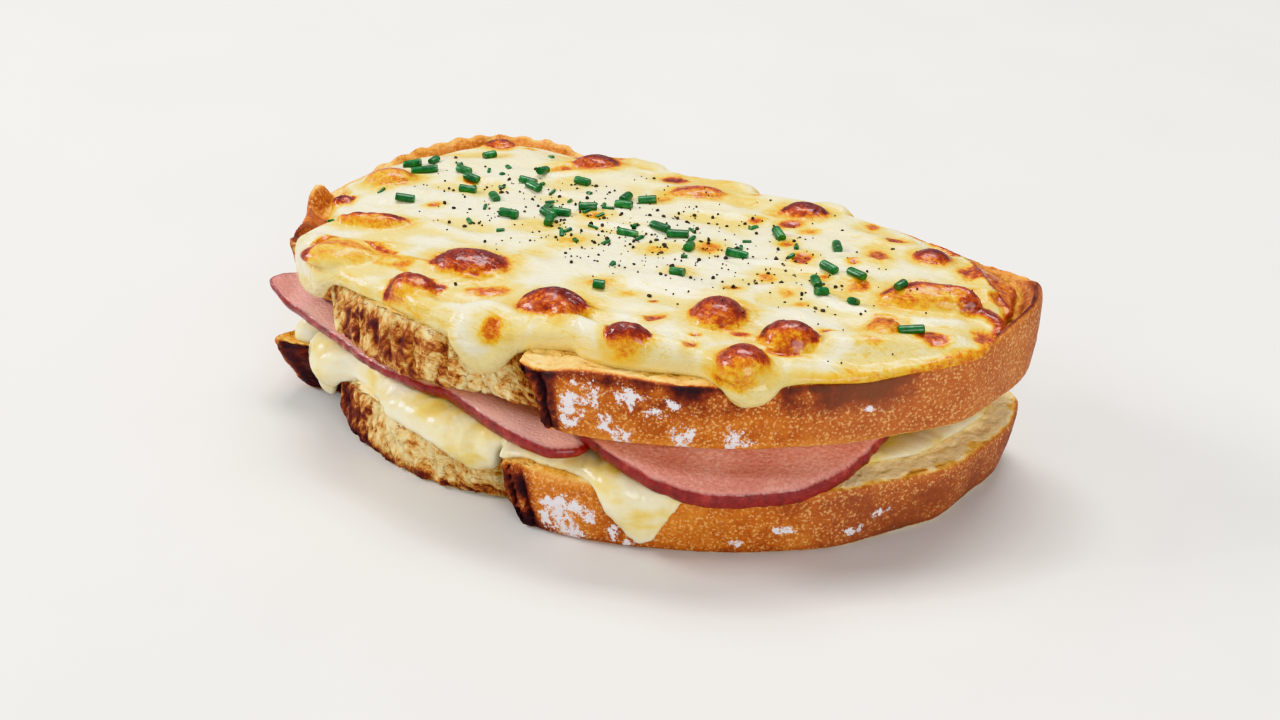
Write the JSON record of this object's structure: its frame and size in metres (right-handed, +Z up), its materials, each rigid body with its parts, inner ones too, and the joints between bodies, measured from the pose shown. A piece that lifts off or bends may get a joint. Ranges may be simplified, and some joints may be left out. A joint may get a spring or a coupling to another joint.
{
  "type": "croque monsieur",
  "caption": "Toasted ham and cheese sandwich on country loaf slices, with melted cheese between and a browned, blistered cheese topping strewn with chopped chives.",
  "frame": {"origin": "middle of the sandwich's bounding box, on the surface it rests on", "axes": "+X along the slices to their right end, +Y away from the torn front of the loaf, +Z up"},
  "size_m": [0.1606, 0.0906, 0.0458],
  "materials": {
    "toasted_bread": "matte toasted crust with pale crumb and flour",
    "melted_cheese": "glossy melted cheese",
    "cooked_ham": "moist satin ham",
    "browned_cheese": "glossy browned cheese with dark blisters"
  },
  "bodies": {
    "root": {"bottom_bread": "toasted_bread", "lower_cheese": "melted_cheese", "ham_left": "cooked_ham", "ham_front": "cooked_ham", "top_bread": "toasted_bread", "cheese_topping": "browned_cheese"}
  },
  "joints": []
}
